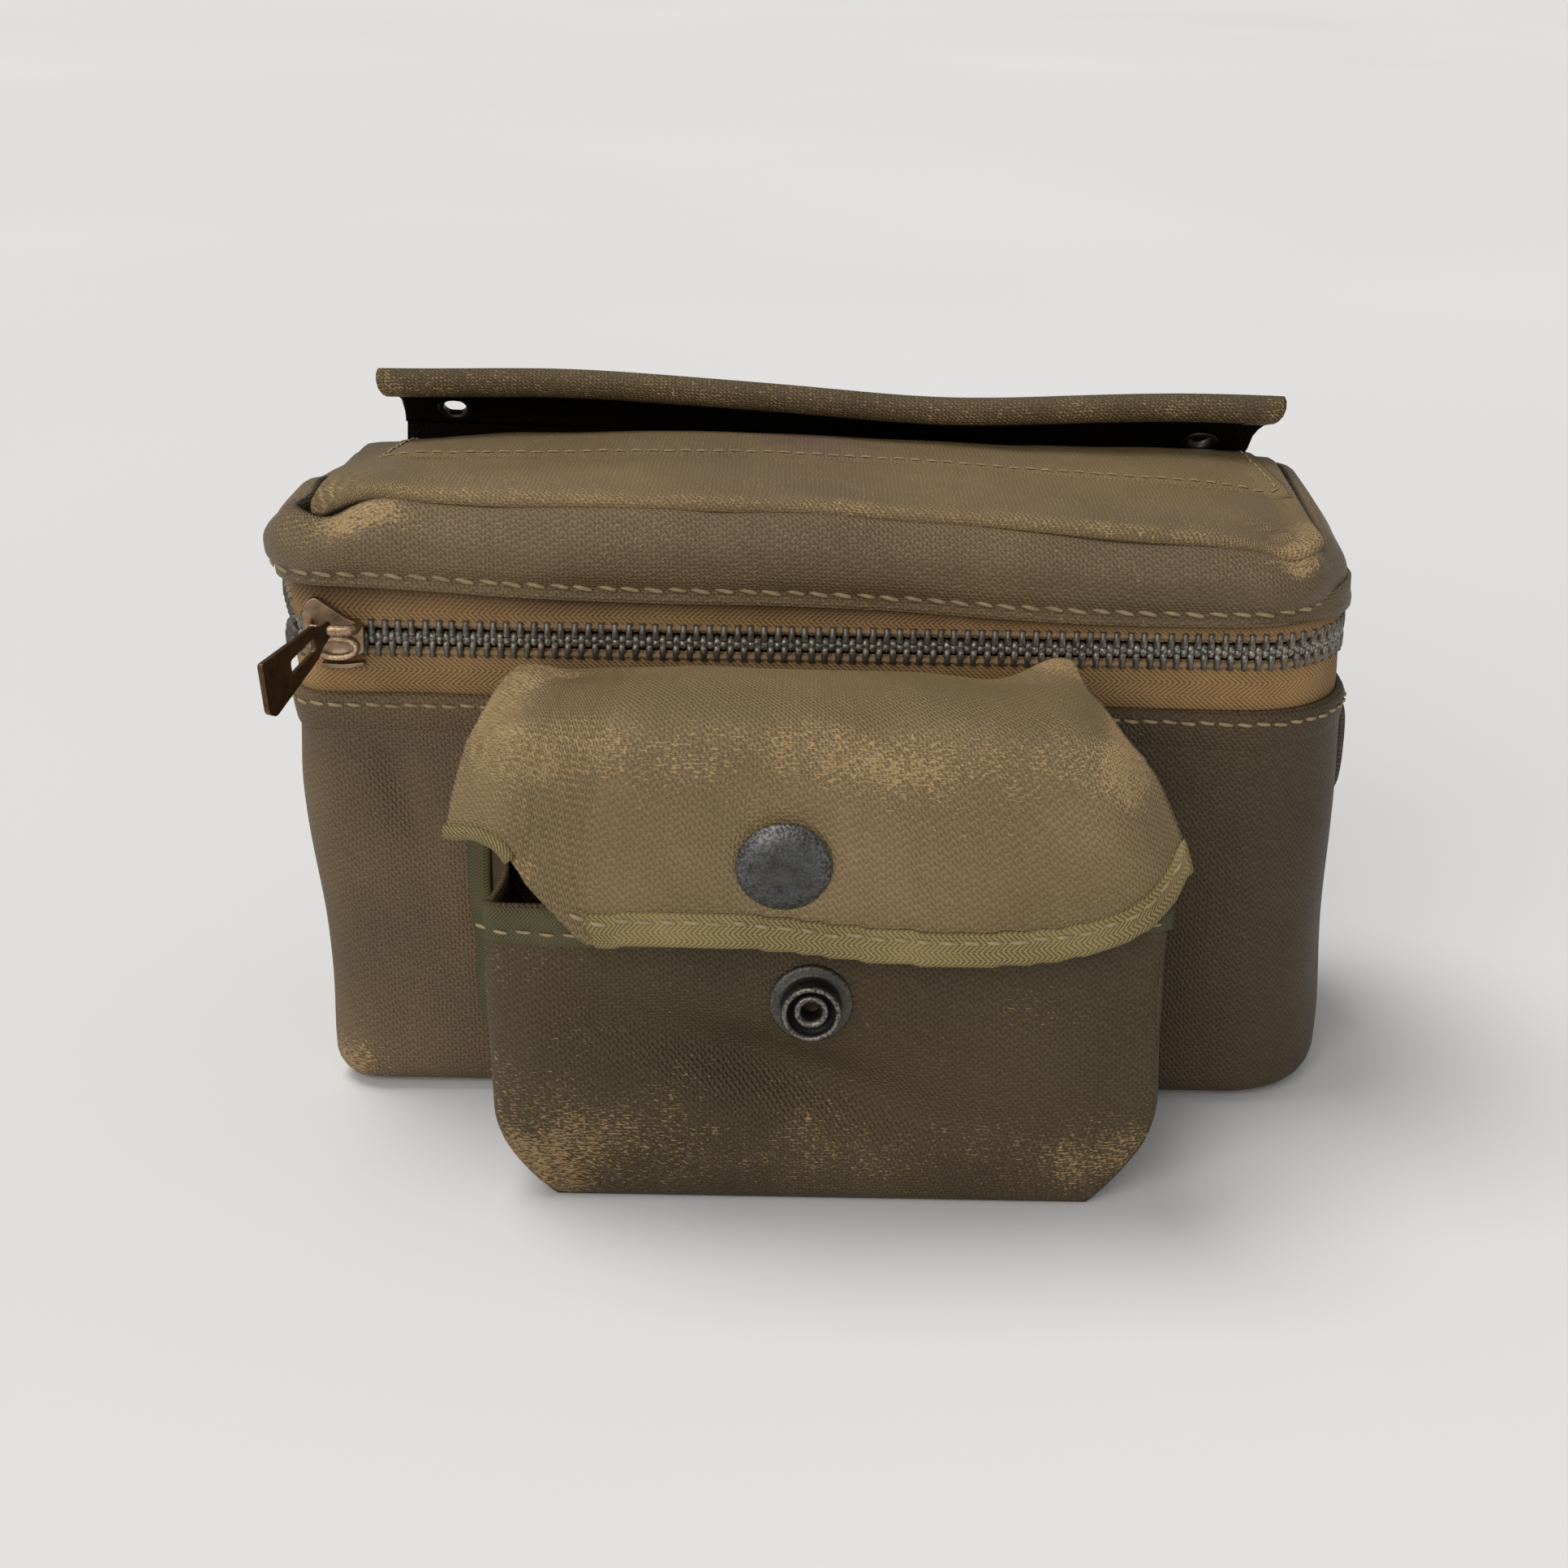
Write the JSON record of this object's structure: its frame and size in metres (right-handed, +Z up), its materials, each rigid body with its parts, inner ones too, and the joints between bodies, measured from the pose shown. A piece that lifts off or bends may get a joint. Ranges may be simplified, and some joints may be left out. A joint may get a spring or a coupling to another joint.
{
  "type": "cash deposit bag",
  "caption": "Soft canvas bag with a zipped main compartment, hinged lid, snap-closed front pocket, fold-up hanger with eyelets and a webbing side loop.",
  "frame": {"origin": "centre of the body's base, on the surface the bag stands on, at half the body's width and depth", "axes": "+X to the bag's own right as seen from the front, along its longest side; +Y from the pocket to the hinged rear; +Z up"},
  "size_m": [0.1886, 0.112, 0.1184],
  "materials": {
    "canvas": "worn coated canvas",
    "canvas_dark": "worn coated canvas",
    "canvas_hem": "turned coated canvas",
    "binding": "herringbone tape",
    "webbing": "woven webbing",
    "zip_tape": "herringbone tape",
    "zip_teeth": "dark gunmetal",
    "snap_metal": "worn dark lacquer",
    "stud_metal": "blackened",
    "slider_metal": "dull bronze",
    "tab_metal": "dark bronze"
  },
  "bodies": {
    "bag": {"wall_band": "canvas_dark", "base_panel": "canvas_dark", "top_hem": "canvas_hem", "lower_zip_tape": "zip_tape", "lower_zip_teeth": "zip_teeth", "hinge_strip": "canvas_dark", "pocket_front": "canvas", "pocket_gusset": "canvas_dark", "mouth_binding": "binding", "gusset_bindings": "binding", "flap_root": "canvas", "snap_stud": "stud_metal", "stud_eyelet": "stud_metal", "side_loop": "webbing"},
    "lid": {"lid_wall": "canvas", "lid_top": "canvas", "lid_facing": "canvas_hem", "upper_zip_tape": "zip_tape", "upper_zip_teeth": "zip_teeth", "lid_skirt": "canvas_dark", "hanger_base": "canvas"},
    "hanger": {"hanger_flap": "canvas", "eyelet_left": "stud_metal", "eyelet_right": "stud_metal"},
    "flap": {"pocket_flap": "canvas", "flap_binding": "binding", "snap_cap": "snap_metal", "snap_socket": "stud_metal"},
    "slider": {"slider_front": "slider_metal", "slider_back": "slider_metal", "slider_bail": "slider_metal"},
    "tab": {"pull_tab": "tab_metal"}
  },
  "joints": [
    {"name": "lid_hinge", "type": "hinge", "parent": "bag", "child": "lid", "pos_m": [0, 0.03225, 0.0842], "axis": [-1, 0, 0], "range_deg": [0, 100]},
    {"name": "flap_hinge", "type": "hinge", "parent": "bag", "child": "flap", "pos_m": [-0.0015, -0.0413, 0.0826], "axis": [-1, 0, 0], "range_deg": [0, 80]},
    {"name": "hanger_fold", "type": "hinge", "parent": "lid", "child": "hanger", "pos_m": [0, 0.032, 0.1053], "axis": [-0.9998, 0, 0.0175], "range_deg": [-15, 150]},
    {"name": "slider_travel", "type": "slide", "parent": "bag", "child": "slider", "axis": [1, 0, 0], "range_m": [0, 0.02]},
    {"name": "tab_swing", "type": "hinge", "parent": "slider", "child": "tab", "pos_m": [-0.0798, -0.03785, 0.0842], "axis": [0, 0, 1], "range_deg": [-22, 26]}
  ]
}
